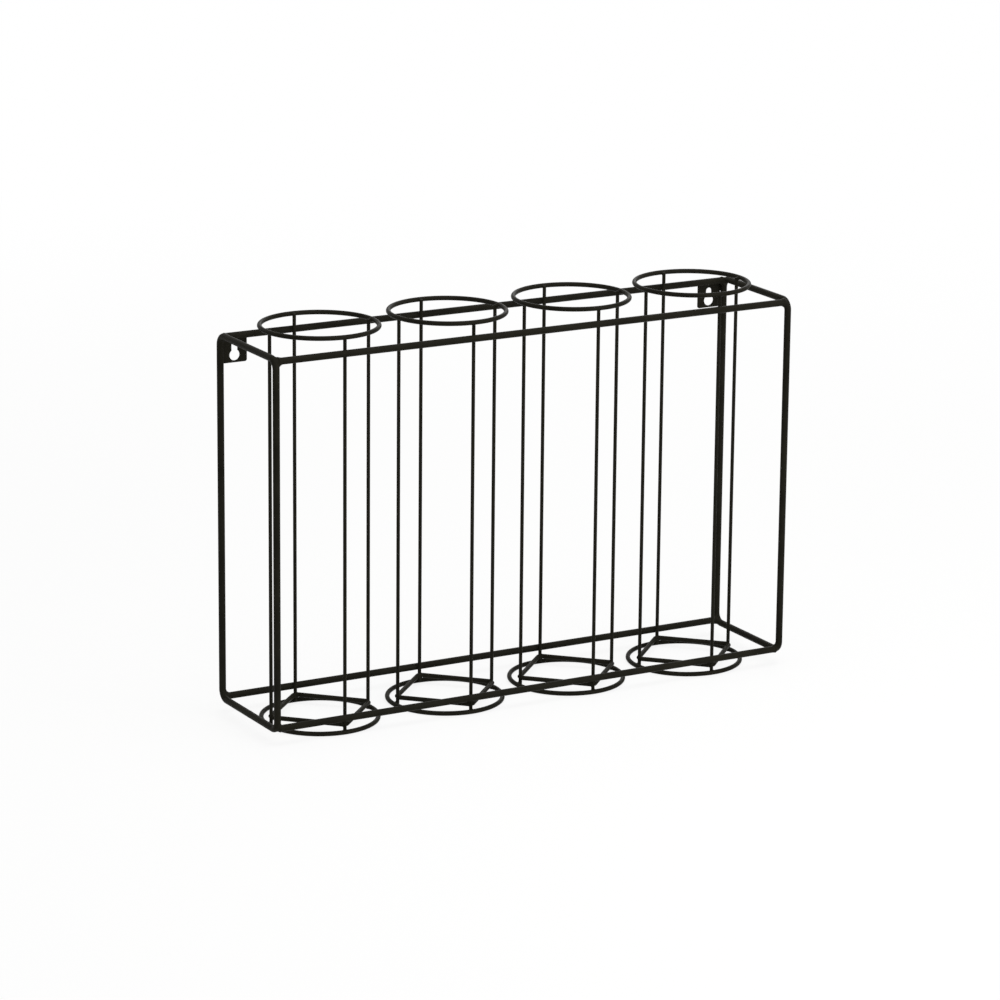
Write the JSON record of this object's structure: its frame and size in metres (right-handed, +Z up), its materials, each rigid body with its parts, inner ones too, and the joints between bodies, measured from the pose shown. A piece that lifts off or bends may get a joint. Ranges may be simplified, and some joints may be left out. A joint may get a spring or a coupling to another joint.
{
  "type": "cup lid holder",
  "caption": "Wall-hung welded wire rack in black powder coat: open columns of rings and uprights with square wire floors hold stacks of cup lids, hung by keyhole tabs.",
  "frame": {"origin": "centre of the rack in plan, on the plane that the bottom rings stand on", "axes": "+X along the rack to the right seen from the front, +Y towards the wall, +Z up"},
  "size_m": [0.53, 0.1162, 0.3638],
  "materials": {
    "frame_coat": "satin black powder coat on 6 mm wire",
    "wire_coat": "satin black powder coat on 3 mm and 4 mm wire",
    "sheet_coat": "satin black powder coat on sheet steel"
  },
  "bodies": {
    "root": {"side_loop_left": "frame_coat", "side_loop_right": "frame_coat", "rail_front_top": "frame_coat", "rail_front_bottom": "frame_coat", "rail_back_top": "frame_coat", "rail_back_bottom": "frame_coat", "hanger_tab_left": "sheet_coat", "hanger_tab_right": "sheet_coat", "column_1_top_ring": "wire_coat", "column_1_bottom_ring": "wire_coat", "column_1_floor_bar_front_left": "wire_coat", "column_1_floor_bar_front_right": "wire_coat", "column_1_floor_bar_back_left": "wire_coat", "column_1_floor_bar_back_right": "wire_coat", "column_1_upright_left": "wire_coat", "column_1_upright_right": "wire_coat", "column_1_upright_front": "wire_coat", "column_1_upright_back": "wire_coat", "column_2_top_ring": "wire_coat", "column_2_bottom_ring": "wire_coat", "column_2_floor_bar_front_left": "wire_coat", "column_2_floor_bar_front_right": "wire_coat", "column_2_floor_bar_back_left": "wire_coat", "column_2_floor_bar_back_right": "wire_coat", "column_2_upright_left": "wire_coat", "column_2_upright_right": "wire_coat", "column_2_upright_front": "wire_coat", "column_2_upright_back": "wire_coat", "column_3_top_ring": "wire_coat", "column_3_bottom_ring": "wire_coat", "column_3_floor_bar_front_left": "wire_coat", "column_3_floor_bar_front_right": "wire_coat", "column_3_floor_bar_back_left": "wire_coat", "column_3_floor_bar_back_right": "wire_coat", "column_3_upright_left": "wire_coat", "column_3_upright_right": "wire_coat", "column_3_upright_front": "wire_coat", "column_3_upright_back": "wire_coat", "column_4_top_ring": "wire_coat", "column_4_bottom_ring": "wire_coat", "column_4_floor_bar_front_left": "wire_coat", "column_4_floor_bar_front_right": "wire_coat", "column_4_floor_bar_back_left": "wire_coat", "column_4_floor_bar_back_right": "wire_coat", "column_4_upright_left": "wire_coat", "column_4_upright_right": "wire_coat", "column_4_upright_front": "wire_coat", "column_4_upright_back": "wire_coat"}
  },
  "joints": []
}
